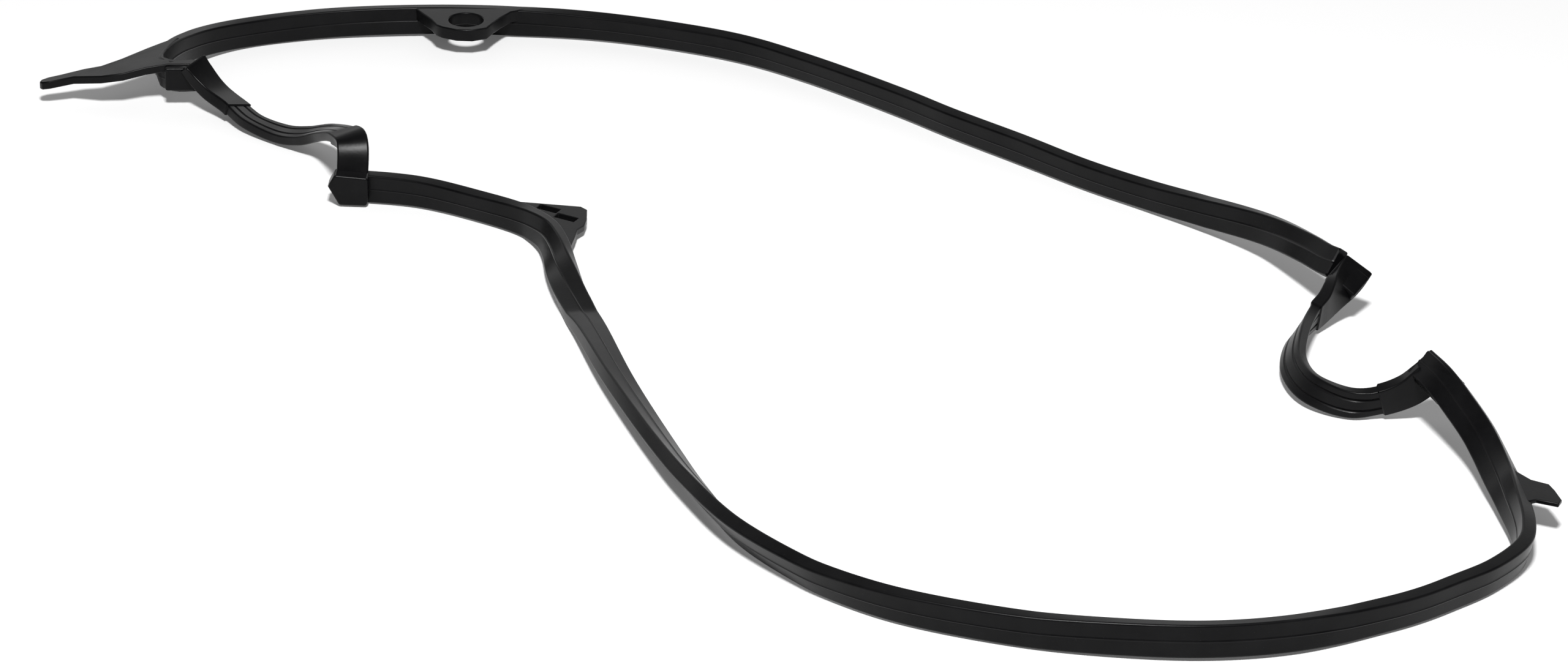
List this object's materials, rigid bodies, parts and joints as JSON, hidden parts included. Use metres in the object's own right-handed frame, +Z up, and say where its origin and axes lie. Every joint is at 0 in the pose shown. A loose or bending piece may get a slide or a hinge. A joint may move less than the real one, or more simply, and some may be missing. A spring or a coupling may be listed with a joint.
{
  "type": "valve cover gasket",
  "caption": "Closed loop of moulded black rubber band with two half-moon strips, a slotted tab, a pointed end wing and a holed lug; seals an engine's valve cover.",
  "frame": {"origin": "middle of the underside of the loop's bounding box, on the table it lies on", "axes": "+X along the loop's length, to the right in the picture; +Y away from the camera; +Z up"},
  "size_m": [0.389, 0.3396, 0.0183],
  "materials": {
    "rubber": "moulded black rubber, satin to matt"
  },
  "bodies": {
    "root": {"gasket": "rubber"}
  },
  "joints": []
}
